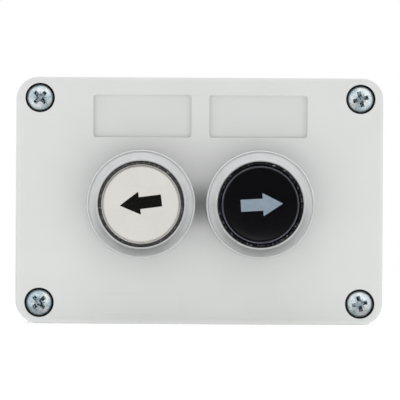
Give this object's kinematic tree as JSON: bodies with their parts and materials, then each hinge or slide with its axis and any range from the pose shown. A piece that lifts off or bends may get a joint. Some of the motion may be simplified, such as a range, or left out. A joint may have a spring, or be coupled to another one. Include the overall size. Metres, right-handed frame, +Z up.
{
  "type": "double push button station",
  "caption": "Wall-mounted push button station: a grey plastic box with a white and a black flush button in metal bezels, arrows pointing outwards, and corner screws.",
  "frame": {"origin": "middle of the back face, which lies on the wall", "axes": "+X to the right as seen from the front, +Z up, the buttons face -Y and are pressed along +Y"},
  "size_m": [0.101, 0.0622, 0.068],
  "materials": {
    "shell_plastic": "light grey moulded plastic, fine matt texture",
    "black_rubber": "matt",
    "zinc_steel": "bluish zinc plated",
    "satin_metal": "satin, silver",
    "black_plastic": "black, slight sheen",
    "white_cap": "warm white, glossy",
    "black_cap": "glossy black",
    "black_mark": "satin black",
    "grey_mark": "light blue grey, satin",
    "spring_steel": "drawn wire",
    "green_plastic": "moulded",
    "contact_brass": "stamped strip"
  },
  "bodies": {
    "housing": {"base": "shell_plastic", "cover": "shell_plastic", "cover_seal": "black_rubber", "cover_screws": "zinc_steel", "left_bezel": "satin_metal", "left_panel_seal": "black_rubber", "left_guide_body": "black_plastic", "left_dust_seal": "black_rubber", "left_fixing_nut": "zinc_steel", "left_contact_holder": "black_plastic", "left_contact_housing": "green_plastic", "left_contact_back": "green_plastic", "left_fixed_contacts": "contact_brass", "left_terminal_screws": "zinc_steel", "right_bezel": "satin_metal", "right_panel_seal": "black_rubber", "right_guide_body": "black_plastic", "right_dust_seal": "black_rubber", "right_fixing_nut": "zinc_steel", "right_contact_holder": "black_plastic", "right_contact_housing": "green_plastic", "right_contact_back": "green_plastic", "right_fixed_contacts": "contact_brass", "right_terminal_screws": "zinc_steel"},
    "left_button": {"left_cap": "white_cap", "left_arrow": "black_mark", "left_plunger": "black_plastic", "left_return_spring": "spring_steel"},
    "left_contact": {"left_contact_pusher": "black_plastic", "left_contact_bridge": "contact_brass", "left_contact_spring": "spring_steel", "left_pusher_spring": "spring_steel"},
    "right_button": {"right_cap": "black_cap", "right_arrow": "grey_mark", "right_plunger": "black_plastic", "right_return_spring": "spring_steel"},
    "right_contact": {"right_contact_pusher": "black_plastic", "right_contact_bridge": "contact_brass", "right_contact_spring": "spring_steel", "right_pusher_spring": "spring_steel"}
  },
  "joints": [
    {"name": "left_press", "type": "slide", "parent": "housing", "child": "left_button", "axis": [0, 1, 0], "range_m": [0, 0.0042], "stiffness_N_per_m": 900, "springref_m": -0.003, "deforming": ["left_return_spring"]},
    {"name": "left_contact_slide", "type": "slide", "parent": "housing", "child": "left_contact", "axis": [0, 1, 0], "range_m": [0, 0.0042], "deforming": ["left_pusher_spring"]},
    {"name": "right_press", "type": "slide", "parent": "housing", "child": "right_button", "axis": [0, 1, 0], "range_m": [0, 0.0042], "stiffness_N_per_m": 900, "springref_m": -0.003, "deforming": ["right_return_spring"]},
    {"name": "right_contact_slide", "type": "slide", "parent": "housing", "child": "right_contact", "axis": [0, 1, 0], "range_m": [0, 0.0042], "deforming": ["right_pusher_spring"]}
  ],
  "couplings": [
    {"joint": "left_contact_slide", "follows": "left_press", "ratio": 1},
    {"joint": "right_contact_slide", "follows": "right_press", "ratio": 1}
  ]
}
